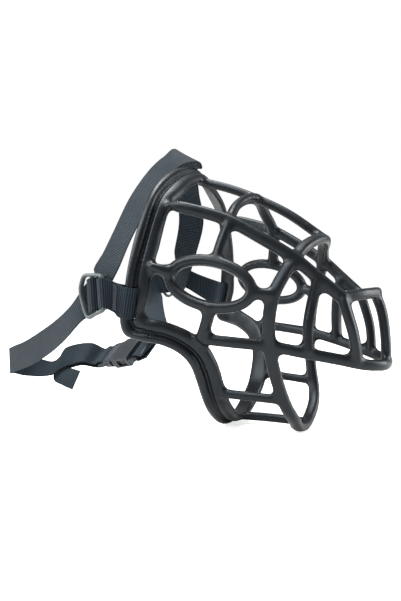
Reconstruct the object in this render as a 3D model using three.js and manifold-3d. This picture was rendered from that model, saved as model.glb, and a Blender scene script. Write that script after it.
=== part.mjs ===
// Basket muzzle: a moulded open basket on a rim, a webbing neck strap with a side-release buckle,
// and two short side straps that tie the neck strap to the rim through three-bar sliders.
// Millimetres. +X points to the nose, +Z up, y = 0 is the plane of symmetry of the basket. The
// origin is on the surface that the muzzle stands on, under the middle of the chin hoop.

import * as THREE from 'three';
import { mergeVertices } from 'three/addons/utils/BufferGeometryUtils.js';
import Module from 'manifold-3d';

const wasm = await Module();
wasm.setup();

// ---------- driving dimensions ----------

const BAR = 6.6;              // usual bar of the basket, across
const BAR_DEEP = 6.0;         // the same bar, through the wall
const BAR_SLIM = 5.6;         // the lighter bars over the nose and under the chin
const SECTION_SIDES = 8;      // sides of a bar's rounded section
const STEP = 9.0;             // length of one step along a bar
const FULLNESS = 1.06;        // lets a bar's flats and corners average its given width
const WELD = 1e-4;            // points closer than this are one point

const WEB = 20.0;             // width of the webbing
const PLY = 1.3;              // thickness of the webbing
const GAP = 0.35;             // clearance between neighbouring pieces
const TACK_LONG = 2.4;        // block of stitches, along the webbing
const TACK_WIDE = 16.0;
const TACK_THICK = 0.6;

const SLOT_LENGTH = 24.0;     // slot in the rim that a side strap passes through
const SLOT_WIDE = 3.0;
const BEAD = 3.3;             // radius of the rolled bead round the rim

const SLIDER_LONG = 31.0;     // slider, along its bars
const SLIDER_WIDE = 20.8;     // slider, across its bars
const SLIDER_THICK = 2.0;
const SLIDER_BAR = 2.2;

const BUCKLE_WIDE = 28.0;     // side-release buckle for this webbing
const BUCKLE_THICK = 9.4;
const PLUG_LENGTH = 22.0;     // what shows of the plug in front of the socket
const SOCKET_LENGTH = 21.0;   // the hollow part of the socket
const BUCKLE_BAR = 2.6;       // cross bars that the webbing goes round
const BUCKLE_SLOT = 5.6;      // slots that the webbing goes through
const BUCKLE_THIN = 3.0;      // thickness of the buckle at its bars

// Colours
const BLACK_PLASTIC = { color: 0x17191c, roughness: 0.42, metalness: 0.0 };
const WEBBING = { color: 0x1f262d, roughness: 0.9, metalness: 0.0 };
const THREAD = { color: 0x181c21, roughness: 0.8, metalness: 0.0 };
const GREY_PLASTIC = { color: 0x4a5150, roughness: 0.45, metalness: 0.0 };
const BUCKLE_PLASTIC = { color: 0x202428, roughness: 0.38, metalness: 0.0 };

// ---------- small helpers ----------

const v = (x, y, z) => new THREE.Vector3(x, y, z);

function mirrored(points) {
  return points.map((p) => v(p.x, -p.y, p.z));
}

function curve(points, closed = false) {
  return new THREE.CatmullRomCurve3(points, closed, 'centripetal');
}

// A closed solid from rings of points that all have the same count. Open rows get flat ends.
function loft(rings, closed = false) {
  const count = rings[0].length;
  const position = rings.flat().flatMap((p) => [p.x, p.y, p.z]);
  const index = [];
  const rows = closed ? rings.length : rings.length - 1;
  for (let i = 0; i < rows; i += 1) {
    const a = i * count;
    const b = ((i + 1) % rings.length) * count;
    for (let j = 0; j < count; j += 1) {
      const k = (j + 1) % count;
      index.push(a + j, a + k, b + k, a + j, b + k, b + j);
    }
  }
  if (!closed) {
    const last = (rings.length - 1) * count;
    for (let j = 1; j < count - 1; j += 1) {
      index.push(0, j + 1, j, last, last + j, last + j + 1);
    }
  }
  const geometry = new THREE.BufferGeometry();
  geometry.setAttribute('position', new THREE.Float32BufferAttribute(position, 3));
  geometry.setIndex(index);
  return outward(geometry);
}

// Turns the faces over where the solid's volume comes out negative.
function outward(geometry) {
  const p = geometry.getAttribute('position');
  const index = geometry.getIndex();
  const [a, b, c] = [v(0, 0, 0), v(0, 0, 0), v(0, 0, 0)];
  let volume = 0;
  for (let i = 0; i < index.count; i += 3) {
    a.fromBufferAttribute(p, index.getX(i));
    b.fromBufferAttribute(p, index.getX(i + 1));
    c.fromBufferAttribute(p, index.getX(i + 2));
    volume += a.dot(b.cross(c));
  }
  if (volume < 0) {
    for (let i = 0; i < index.count; i += 3) {
      const first = index.getX(i);
      index.setX(i, index.getX(i + 1));
      index.setX(i + 1, first);
    }
  }
  return geometry;
}

// A manifold solid for cutting and joining.
function solid(geometry) {
  const bare = geometry.clone();
  bare.deleteAttribute('normal');
  bare.deleteAttribute('uv');
  const merged = mergeVertices(bare, WELD);
  return new wasm.Manifold(new wasm.Mesh({
    numProp: 3,
    vertProperties: Float32Array.from(merged.getAttribute('position').array),
    triVerts: Uint32Array.from(merged.getIndex().array),
  }));
}

function fromSolid(manifold) {
  const mesh = manifold.getMesh();
  const geometry = new THREE.BufferGeometry();
  const points = Float32Array.from(mesh.vertProperties);
  const corners = Uint32Array.from(mesh.triVerts);
  geometry.setAttribute('position', new THREE.BufferAttribute(points, 3));
  geometry.setIndex(new THREE.BufferAttribute(corners, 1));
  return geometry;
}

function joined(geometries) {
  return geometries.map(solid).reduce((sum, next) => sum.add(next));
}

function named(name, geometry, finish) {
  const mesh = new THREE.Mesh(geometry, new THREE.MeshStandardMaterial(finish));
  mesh.name = name;
  return mesh;
}

// ---------- the basket ----------

// Half of the rim, from the top to the chin, on the +y side. `rear` runs along the rolled bead's
// outer edge and `front` along the inner edge of the flat band.
const RIM_REAR = [
  v(-82.5, 0, 184), v(-84, 20, 181), v(-85.5, 39, 172), v(-85, 54, 160), v(-86, 63, 145),
  v(-88.5, 68.5, 129), v(-91, 73, 110), v(-93.5, 74, 93), v(-97.5, 72.5, 78), v(-95, 71.5, 69),
  v(-85, 70.5, 65.4), v(-73, 64.5, 62.4), v(-62.5, 59, 56.5), v(-57, 55.5, 49), v(-55, 51.5, 39),
  v(-54.8, 46, 29.5), v(-55, 38.5, 19.5), v(-56, 27, 10.5), v(-56.5, 14, 4.2), v(-56.5, 0, 2.4),
];
const RIM_FRONT = [
  v(-68.5, 0, 177), v(-69.5, 17, 171.5), v(-69.3, 34, 162), v(-72, 47.5, 151), v(-72.8, 54.5, 139),
  v(-73.6, 60.3, 126), v(-76, 67, 109), v(-77.5, 69.5, 93), v(-80.5, 70.5, 83), v(-78.5, 70, 80),
  v(-73, 67.5, 78.5), v(-64, 61.5, 75.3), v(-54, 57.5, 70), v(-46, 51.5, 62), v(-40.8, 46.5, 49),
  v(-38.8, 42, 34), v(-38.5, 35, 22), v(-39.5, 23, 12.5), v(-40.5, 12, 6.4), v(-40.5, 0, 4.8),
];

// The rim's section: u runs from the bead's outer edge (0) to the band's inner edge (1) and the
// second number is how far the surface stands out of the wall, in millimetres.
const RIM_SECTION = [
  [0, 0], [0.05, 2.0], [0.2, BEAD], [0.33, 2.4], [0.43, 0.2], [0.49, 0.3], [0.56, 1.6],
  [0.76, 1.6], [0.9, 0.2], [1, -2.0], [0.97, -3.6], [0.2, -BEAD], [0.06, -2.2],
];

function fullLoop(half) {
  const other = mirrored(half.slice(1, -1)).reverse();
  return curve([...half, ...other], true);
}

function rimFrames(count) {
  const rear = fullLoop(RIM_REAR);
  const front = fullLoop(RIM_FRONT);
  const small = 0.004;
  const frames = [];
  for (let i = 0; i < count; i += 1) {
    const t = i / count;
    const a = rear.getPoint(t);
    const b = front.getPoint(t);
    const [next, previous] = [(t + small) % 1, (t + 1 - small) % 1];
    const along = rear.getPoint(next).add(front.getPoint(next))
      .sub(rear.getPoint(previous)).sub(front.getPoint(previous));
    const across = b.clone().sub(a);
    const out = across.clone().cross(along).normalize();
    frames.push({ a, across, out });
  }
  const top = frames[0];
  const sign = top.out.z < 0 ? -1 : 1;
  frames.forEach((f) => f.out.multiplyScalar(sign));
  return frames;
}

function rim() {
  const stations = 3 * (RIM_REAR.length - 1);
  const rings = rimFrames(stations).map(({ a, across, out }) => RIM_SECTION.map(
    ([u, n]) => a.clone().addScaledVector(across, u).addScaledVector(out, n),
  ));
  return loft(rings, true);
}

function sectionPoints(wide, deep) {
  const points = [];
  for (let i = 0; i < SECTION_SIDES; i += 1) {
    const angle = ((i + 0.5) / SECTION_SIDES) * 2 * Math.PI;
    const x = (deep / 2) * Math.cos(angle) * FULLNESS;
    const y = (wide / 2) * Math.sin(angle) * FULLNESS;
    points.push(new THREE.Vector2(x, y));
  }
  return points;
}

function stepsAlong(path) {
  return Math.max(2, Math.round(path.getLength() / STEP));
}

function bar(points, wide = BAR, deep = BAR_DEEP) {
  const path = curve(points);
  return new THREE.ExtrudeGeometry(new THREE.Shape(sectionPoints(wide, deep)), {
    steps: stepsAlong(path), extrudePath: path, bevelEnabled: false,
  });
}

// A bar that closes on itself, with no ends.
function loopBar(points, wide, deep) {
  const path = curve(points, true);
  const steps = stepsAlong(path);
  const { normals, binormals } = path.computeFrenetFrames(steps, true);
  const section = sectionPoints(wide, deep);
  const rings = [];
  for (let i = 0; i < steps; i += 1) {
    const centre = path.getPointAt(i / steps);
    rings.push(section.map((p) => centre.clone()
      .addScaledVector(normals[i], p.x).addScaledVector(binormals[i], p.y)));
  }
  return loft(rings, true);
}

// Bars on the centre plane, and bars that run over it from cheek to cheek.
function centreBars() {
  const top = [v(-76, 0, 176), v(-50, 0, 167.5), v(-31, 0, 159.2), v(-8, 0, 146.8), v(15.8, 0, 129)];
  const under = [v(-50, 0, 5.2), v(-20, 0, 5.6), v(1, 0, 5.2)];
  const front = [v(48.6, 0, 92), v(52.2, 0, 82), v(54.3, 0, 68), v(55.1, 0, 48.2)];
  return [
    bar(top, BAR_SLIM, BAR_SLIM), bar(under, BAR_SLIM, BAR_SLIM), bar(front, BAR, BAR),
  ];
}

function acrossBar(half, wide, deep) {
  return bar([...mirrored(half).reverse(), ...half.slice(1)], wide, deep);
}

// A hoop that runs from the centre plane above round to the centre plane below, with no ends.
function acrossHoop(half, wide, deep) {
  return loopBar([...mirrored(half).reverse(), ...half.slice(1, -1)], wide, deep);
}

function crossBars() {
  const firstHoop = [
    v(-31, 0, 158.7), v(-32.5, 14, 157), v(-34.3, 27, 151.5), v(-33.5, 40, 142.5), v(-34, 46.5, 134),
    v(-36.5, 51.5, 122), v(-38, 53, 114),
  ];
  const noseHoop = [
    v(15.9, 0, 128.7), v(14, 12, 127.3), v(9.7, 24, 122.5), v(6.5, 36, 114.5), v(2.5, 43.5, 105.5),
    v(-2.5, 48.5, 93.5), v(-5.5, 49, 80), v(-6.5, 46.5, 64), v(-6, 42.5, 50), v(-3.6, 38, 35),
    v(-0.6, 33.2, 22), v(1.2, 25, 13), v(0.8, 13, 5), v(0.8, 0, 2.5),
  ];
  const frontArch = [v(49.5, 0, 92.6), v(47.3, 8, 92.5), v(42.5, 18, 92), v(34.3, 29, 90.5)];
  const lowerBar = [
    v(55.3, 0, 47.8), v(53.5, 12, 48.2), v(45, 23, 49.8), v(33, 30, 53), v(15.5, 39, 57.2),
    v(-6.5, 46, 61.8), v(-26, 52, 64), v(-47, 55.5, 66),
  ];
  return [
    acrossBar(firstHoop, BAR, BAR_DEEP), acrossHoop(noseHoop, BAR, BAR),
    acrossBar(frontArch, BAR_DEEP, BAR), acrossBar(lowerBar, BAR_DEEP, BAR),
  ];
}

// Bars that a cheek has of its own, given on the +y side.
const CHEEK_RING = {
  centre: v(-41.0, 57.0, 100.6),
  long: v(26.2, -2.6, -6.4),
  high: v(3.2, -1.9, 13.4),
};
const RING_POINTS = 16;

function cheekRing() {
  const points = [];
  for (let i = 0; i < RING_POINTS; i += 1) {
    const angle = (i / RING_POINTS) * 2 * Math.PI;
    points.push(CHEEK_RING.centre.clone()
      .addScaledVector(CHEEK_RING.long, Math.cos(angle))
      .addScaledVector(CHEEK_RING.high, Math.sin(angle)));
  }
  return points;
}

function cheekBars(side) {
  const placed = (points) => (side > 0 ? points : mirrored(points));
  const upper = [
    v(-73, 50.5, 152.5), v(-55, 48.5, 147.8), v(-33.5, 44.2, 140.2), v(-12, 40.8, 127.7),
    v(7.3, 37.2, 114.7), v(20.5, 33.5, 102.8), v(34.3, 29, 90.3),
  ];
  const frontUpright = [v(34.5, 29.5, 90), v(37.5, 30, 80), v(40.5, 29, 68), v(42, 25.5, 51)];
  const midUpright = [v(20.3, 33.5, 102), v(17, 35, 88), v(15.3, 38.5, 74), v(15.3, 39.5, 57)];
  const toRim = [v(-77, 68.5, 113), v(-66, 61, 107.5)];
  const toHoop = [v(-15, 54.5, 94.5), v(-2.5, 49, 93)];
  const toCorner = [v(-39.5, 58.8, 87.5), v(-43.5, 57.5, 76), v(-48, 56, 66)];
  const chin = [v(-43, 40.5, 29.5), v(-24, 38.5, 28.3), v(-2, 35.2, 27)];
  return [
    bar(placed(upper)), bar(placed(frontUpright), BAR + 0.8, BAR), bar(placed(midUpright)),
    bar(placed(toRim), BAR_SLIM, BAR_SLIM), bar(placed(toHoop), BAR_SLIM, BAR_SLIM),
    bar(placed(toCorner)), bar(placed(chin), BAR_SLIM, BAR_SLIM),
    loopBar(placed(cheekRing()), BAR + 0.8, BAR + 0.4),
  ];
}

// The slot that a side strap goes through lies in the groove between the bead and the band.
const SLOT_AT = 0.5;
const SLOT_STATION = 0.188;

function slotFrame(side) {
  const rear = fullLoop(RIM_REAR);
  const front = fullLoop(RIM_FRONT);
  const t = side > 0 ? SLOT_STATION : 1 - SLOT_STATION;
  const a = rear.getPoint(t);
  const b = front.getPoint(t);
  const up = rear.getPoint(t + 0.02).sub(rear.getPoint(t - 0.02)).normalize();
  if (up.z < 0) up.negate();
  const across = b.clone().sub(a);
  const length = across.length();
  across.normalize();
  across.addScaledVector(up, -across.dot(up)).normalize();
  const out = across.clone().cross(up).normalize();
  if (out.y * side < 0) out.negate();
  return { bead: a.clone().addScaledVector(across, BEAD), a, across, up, out, length };
}

function slotCutter(side) {
  const { a, across, up, out, length } = slotFrame(side);
  const deep = 16;
  const box = new THREE.BoxGeometry(SLOT_WIDE, deep, SLOT_LENGTH);
  const centre = a.clone().addScaledVector(across, length * SLOT_AT);
  const basis = new THREE.Matrix4().makeBasis(across, out, up);
  if (basis.determinant() < 0) basis.makeBasis(across, out.clone().negate(), up);
  box.applyMatrix4(basis.setPosition(centre));
  return box;
}

// The rim and the chin hoop stand on the floor on flat undersides.
function floorCutter() {
  const size = 400;
  const box = new THREE.BoxGeometry(size, size, size);
  box.translate(0, 0, -size / 2);
  return box;
}

function basket() {
  const bars = [...centreBars(), ...crossBars(), ...cheekBars(1), ...cheekBars(-1)];
  let body = joined([rim(), ...bars]);
  body = body.subtract(solid(slotCutter(1))).subtract(solid(slotCutter(-1)));
  body = body.subtract(solid(floorCutter()));
  return named('basket', fromSolid(body), BLACK_PLASTIC);
}

// ---------- webbing ----------

// A flat strip of webbing. Each station is [centre, across]: `across` is the whole width at that
// station. `from` and `to` count stations, so one run of webbing can be made in pieces.
function webbing(stations, rows, from = 0, to = stations.length - 1) {
  const middle = curve(stations.map(([c]) => c));
  const across = curve(stations.map(([, a]) => a));
  const rings = [];
  for (let i = 0; i <= rows; i += 1) {
    const t = (from + (to - from) * (i / rows)) / (stations.length - 1);
    const along = middle.getTangent(t);
    rings.push(ply(middle.getPoint(t), across.getPoint(t), along));
  }
  return loft(rings);
}

function webbingLoop(stations, rows) {
  const middle = curve(stations.map(([c]) => c), true);
  const across = curve(stations.map(([, a]) => a), true);
  const rings = [];
  for (let i = 0; i < rows; i += 1) {
    const t = i / rows;
    rings.push(ply(middle.getPoint(t), across.getPoint(t), middle.getTangent(t)));
  }
  return loft(rings, true);
}

// The four corners of the webbing's section.
function ply(centre, width, along) {
  const normal = along.clone().cross(width).normalize().multiplyScalar(PLY / 2);
  const half = width.clone().multiplyScalar(0.5);
  return [
    centre.clone().add(half).add(normal), centre.clone().add(half).sub(normal),
    centre.clone().sub(half).sub(normal), centre.clone().sub(half).add(normal),
  ];
}

// The sewing that closes a loop of webbing: a low block of stitches on the outer ply.
function bartack(name, centre, across, out) {
  const along = across.clone().cross(out).normalize();
  const width = across.clone().normalize();
  const face = along.clone().cross(width);
  const stitches = new THREE.BoxGeometry(TACK_LONG, TACK_WIDE, TACK_THICK);
  const mesh = named(name, stitches, THREAD);
  const lift = PLY / 2 + 2 * GAP + TACK_THICK / 2;
  const basis = new THREE.Matrix4().makeBasis(along, width, face);
  const side = face.dot(out) < 0 ? -1 : 1;
  mesh.applyMatrix4(basis.setPosition(centre.clone().addScaledVector(face, side * lift)));
  return mesh;
}

// ---------- sliders ----------

// A slider's place: its centre, `up` along the bars, `out` away from the dog, and `front` towards
// the rim.
function sliderFrame(centre, up, out) {
  const u = up.clone().normalize();
  const o = out.clone().addScaledVector(u, -out.dot(u)).normalize();
  const f = u.clone().cross(o).normalize();
  if (f.x < 0) f.negate();
  return { centre, up: u, out: o, front: f };
}

const NEAR_SLIDER = sliderFrame(v(-113, -79.5, 94.5), v(-0.14, 0.12, 0.98), v(-0.2, -0.97, 0.12));
const FAR_SLIDER = sliderFrame(v(-134, 56, 104), v(-0.2, -0.15, 0.97), v(-0.35, 0.93, 0.1));
const SLIDER_BAR_AT = (SLIDER_WIDE - SLIDER_BAR) / 2;

function sliderPoint(frame, front, up, out) {
  return frame.centre.clone().addScaledVector(frame.front, front)
    .addScaledVector(frame.up, up).addScaledVector(frame.out, out);
}

function roundedRectangle(Kind, wide, high, radius, x = 0) {
  const [a, b] = [wide / 2, high / 2];
  const path = new Kind();
  path.moveTo(x - a + radius, -b);
  path.lineTo(x + a - radius, -b);
  path.quadraticCurveTo(x + a, -b, x + a, -b + radius);
  path.lineTo(x + a, b - radius);
  path.quadraticCurveTo(x + a, b, x + a - radius, b);
  path.lineTo(x - a + radius, b);
  path.quadraticCurveTo(x - a, b, x - a, b - radius);
  path.lineTo(x - a, -b + radius);
  path.quadraticCurveTo(x - a, -b, x - a + radius, -b);
  return path;
}

function slider(name, frame) {
  const [cornerOut, cornerIn] = [3, 1];
  const outline = roundedRectangle(THREE.Shape, SLIDER_WIDE, SLIDER_LONG, cornerOut);
  const slotWide = SLIDER_BAR_AT - SLIDER_BAR;
  const slotLong = SLIDER_LONG - 2 * SLIDER_BAR;
  for (const side of [-1, 1]) {
    const middle = side * SLIDER_BAR_AT / 2;
    outline.holes.push(roundedRectangle(THREE.Path, slotWide, slotLong, cornerIn, middle));
  }
  const flat = new THREE.ExtrudeGeometry(outline, {
    depth: SLIDER_THICK, bevelEnabled: false, curveSegments: 3,
  });
  flat.translate(0, 0, -SLIDER_THICK / 2);
  const mesh = named(name, flat, GREY_PLASTIC);
  const basis = new THREE.Matrix4().makeBasis(frame.front, frame.up, frame.front.clone().cross(frame.up));
  mesh.applyMatrix4(basis.setPosition(frame.centre));
  return mesh;
}

// ---------- side straps ----------

// A sewn loop of webbing round the rim's bead and the slider's front bar. Its plies meet between
// the two, where it is sewn.
function sideStrap(name, tackName, side, frame) {
  const slot = slotFrame(side);
  const inSlot = slot.length * SLOT_AT - BEAD;
  const turn = BEAD + GAP + PLY / 2 + 0.5;
  const corner = Math.hypot(SLIDER_BAR, SLIDER_THICK) / 2 + GAP + PLY / 2;
  const atBead = slot.up.clone().multiplyScalar(WEB);
  const atBar = frame.up.clone().multiplyScalar(WEB);
  const beadPoint = (across, out) => [
    slot.bead.clone().addScaledVector(slot.across, across).addScaledVector(slot.out, out), atBead,
  ];
  const barPoint = (front, out) => [
    sliderPoint(frame, SLIDER_BAR_AT + front * corner, 0, out * corner), atBar,
  ];
  const sewnUp = atBead.clone().lerp(atBar, 0.5);
  const run = slot.bead.clone().sub(sliderPoint(frame, SLIDER_BAR_AT, 0, 0));
  const sewnAt = sliderPoint(frame, SLIDER_BAR_AT, 0, 0).addScaledVector(run, 0.48);
  const sewnOut = sewnUp.clone().cross(run).normalize();
  if (sewnOut.dot(slot.out) < 0) sewnOut.negate();
  const apart = PLY / 2 + GAP / 2 + 0.15;
  const sewnPoint = (out) => [sewnAt.clone().addScaledVector(sewnOut, out * apart), sewnUp];
  const stations = [
    sewnPoint(1), beadPoint(-turn + 1.4, turn - 1), beadPoint(0, turn + 0.3),
    beadPoint(inSlot - 1.4, turn - 1.2), beadPoint(inSlot, 0), beadPoint(inSlot - 0.2, 1 - turn),
    beadPoint(inSlot - 1.6, -turn - 0.6), beadPoint(0.6, -turn - 1), beadPoint(-turn + 0.6, -turn + 0.6),
    sewnPoint(-1),
    barPoint(0.8, -1.05), barPoint(-0.2, -1.1), barPoint(-0.95, -0.6), barPoint(-0.95, 0.6),
    barPoint(-0.2, 1.1), barPoint(0.8, 1.05),
  ];
  return [
    named(name, webbingLoop(stations, 48), WEBBING),
    bartack(tackName, sewnPoint(1)[0], sewnUp, sewnOut),
  ];
}

// ---------- buckle ----------

// The buckle's own axes: `along` runs from the plug's webbing bar to the socket's, `across` over
// its width and `face` out of its front.
const BUCKLE = {
  origin: v(-186, 30, 37.5),
  along: v(0.942, -0.275, 0.191).normalize(),
  across: v(0.11, 0.786, 0.607),
};
BUCKLE.across.addScaledVector(BUCKLE.along, -BUCKLE.across.dot(BUCKLE.along)).normalize();
BUCKLE.face = BUCKLE.along.clone().cross(BUCKLE.across).normalize();

function bucklePoint(along, across, face) {
  return BUCKLE.origin.clone().addScaledVector(BUCKLE.along, along)
    .addScaledVector(BUCKLE.across, across).addScaledVector(BUCKLE.face, face);
}

function placeOnBuckle(mesh) {
  const basis = new THREE.Matrix4().makeBasis(BUCKLE.along, BUCKLE.across, BUCKLE.face);
  mesh.applyMatrix4(basis.setPosition(BUCKLE.origin));
  return mesh;
}

function block(x0, x1, y0, y1, z0, z1) {
  const box = new THREE.BoxGeometry(x1 - x0, y1 - y0, z1 - z0);
  box.translate((x0 + x1) / 2, (y0 + y1) / 2, (z0 + z1) / 2);
  return box;
}

function plate(points, thick) {
  const shape = new THREE.Shape(points.map(([x, y]) => new THREE.Vector2(x, y)));
  const geometry = new THREE.ExtrudeGeometry(shape, { depth: thick, bevelEnabled: false });
  geometry.translate(0, 0, -thick / 2);
  return geometry;
}

const WALL = 1.8;
const SIDE = 0.8;             // clearance at each side of the webbing and of the plug
const PAST = 1.0;             // how far a cutter runs past the face it cuts
const SOCKET_FROM = PLUG_LENGTH + GAP;
const SOCKET_TO = SOCKET_FROM + SOCKET_LENGTH;
const SOCKET_END = SOCKET_TO + BUCKLE_SLOT + BUCKLE_BAR;
const CAVITY_HALF = BUCKLE_WIDE / 2 - 1.5;
const CAVITY_THICK = BUCKLE_THICK - 2 * WALL;
const PRONG_ROOT = PLUG_LENGTH - 1.5;
const PRONG_AT = 8.2;
const PRONG_THICK = CAVITY_THICK - 2 * GAP;
const WINDOW_FROM = SOCKET_FROM + 7.5;
const WINDOW_TO = SOCKET_FROM + 18;

function buckleSocket() {
  const half = BUCKLE_WIDE / 2;
  const deep = BUCKLE_THICK / 2;
  const shell = plate([
    [SOCKET_FROM, -half + 0.8], [SOCKET_FROM + 1.5, -half], [SOCKET_TO, -half],
    [SOCKET_END - 2, -half + 1], [SOCKET_END, -half + 3], [SOCKET_END, half - 3],
    [SOCKET_END - 2, half - 1], [SOCKET_TO, half], [SOCKET_FROM + 1.5, half],
    [SOCKET_FROM, half - 0.8],
  ], BUCKLE_THICK);
  const barFrom = SOCKET_TO + 0.6;
  const cavity = CAVITY_THICK / 2;
  const thin = BUCKLE_THIN / 2;
  const cuts = [
    block(SOCKET_FROM - PAST, SOCKET_TO - WALL, -CAVITY_HALF, CAVITY_HALF, -cavity, cavity),
    block(WINDOW_FROM, WINDOW_TO, -half - PAST, half + PAST, -cavity, cavity),
    block(SOCKET_TO, SOCKET_TO + BUCKLE_SLOT, -WEB / 2 - SIDE, WEB / 2 + SIDE, -2 * deep, 2 * deep),
    block(barFrom, SOCKET_END + PAST, -half - PAST, half + PAST, thin, 2 * deep),
    block(barFrom, SOCKET_END + PAST, -half - PAST, half + PAST, -2 * deep, -thin),
  ];
  const body = cuts.reduce((sum, cut) => sum.subtract(solid(cut)), solid(shell));
  return placeOnBuckle(named('buckle_socket', fromSolid(body), BUCKLE_PLASTIC));
}

function bucklePlug() {
  const half = BUCKLE_WIDE / 2 - SIDE;
  const barEnd = BUCKLE_BAR + BUCKLE_SLOT;
  const frame = plate([
    [0, -half + 2], [1.5, -half], [PLUG_LENGTH, -half + 1.2],
    [PLUG_LENGTH, half - 1.2], [1.5, half], [0, half - 2],
  ], BUCKLE_THIN);
  const body = plate([
    [barEnd + 0.4, -half + 1.4], [PLUG_LENGTH, -half + 0.6],
    [PLUG_LENGTH, half - 0.6], [barEnd + 0.4, half - 1.4],
  ], BUCKLE_THICK - 1.6);
  const tip = SOCKET_TO - WALL - 1;
  const tongue = plate([
    [PLUG_LENGTH - 2, -2.4], [tip - 1.5, -2.4], [tip, -1], [tip, 1], [tip - 1.5, 2.4],
    [PLUG_LENGTH - 2, 2.4],
  ], PRONG_THICK);
  const slotHalf = WEB / 2 + SIDE;
  const slot = block(BUCKLE_BAR, barEnd, -slotHalf, slotHalf, -BUCKLE_THICK, BUCKLE_THICK);
  const pocketDeep = PRONG_THICK / 2 + GAP;
  let whole = joined([frame, body, tongue]).subtract(solid(slot));
  for (const side of [-1, 1]) {
    const [low, high] = [side * PRONG_AT - 4.6, side * PRONG_AT + 4.0];
    const pocket = block(PRONG_ROOT - 2.2, PLUG_LENGTH + PAST, low, high, -pocketDeep, pocketDeep);
    whole = whole.subtract(solid(pocket));
  }
  return placeOnBuckle(named('buckle_plug', fromSolid(whole), BUCKLE_PLASTIC));
}

// One springy arm of the plug. Its head fills the window in the socket's side and is pressed to
// let the buckle go.
function buckleProng(name, side) {
  const headFrom = WINDOW_FROM + GAP;
  const headTo = WINDOW_TO - GAP;
  const outer = CAVITY_HALF - GAP;
  const points = [
    [PRONG_ROOT - 1.6, PRONG_AT - 1.6], [PRONG_ROOT - 1.6, PRONG_AT + 1.6],
    [headFrom, PRONG_AT + 2.2], [headFrom + 0.6, outer], [headTo - 4, outer],
    [headTo, PRONG_AT + 0.6], [headTo - 1.5, PRONG_AT - 1.2], [headFrom, PRONG_AT - 0.6],
  ].map(([x, y]) => [x, side * y]);
  return placeOnBuckle(named(name, plate(points, PRONG_THICK), BUCKLE_PLASTIC));
}

// ---------- neck strap ----------

// The webbing's way through a slider, as [front, out] steps: behind the front bar and the side
// strap's loop, over the middle bar, and behind the rear one.
const SLIDER_PATH = [
  [1, -4.8], [0.6, -2.7], [0.35, 0.2], [0.2, 2.2], [0, 2.7], [-0.2, 2.2], [-0.38, 0], [-0.62, -2.2],
  [-1, -2.9],
];

function throughSlider(frame, lift) {
  const across = frame.up.clone().multiplyScalar(WEB + 2);
  return SLIDER_PATH.map(([front, out]) => [
    sliderPoint(frame, SLIDER_BAR_AT * front, lift * front, out), across,
  ]);
}

// Round a buckle's bar at `along`, from the back of the buckle to its front.
function roundBar(along, open) {
  const turn = Math.hypot(BUCKLE_BAR, BUCKLE_THIN) / 2 + GAP + PLY / 2 + 0.1;
  const width = BUCKLE.across.clone().multiplyScalar(WEB);
  return [-0.8, -0.4, 0, 0.4, 0.8].map((k) => {
    const angle = k * Math.PI / 1.6;
    return [bucklePoint(along - open * turn * Math.cos(angle), 0, turn * Math.sin(angle)), width];
  });
}

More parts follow.
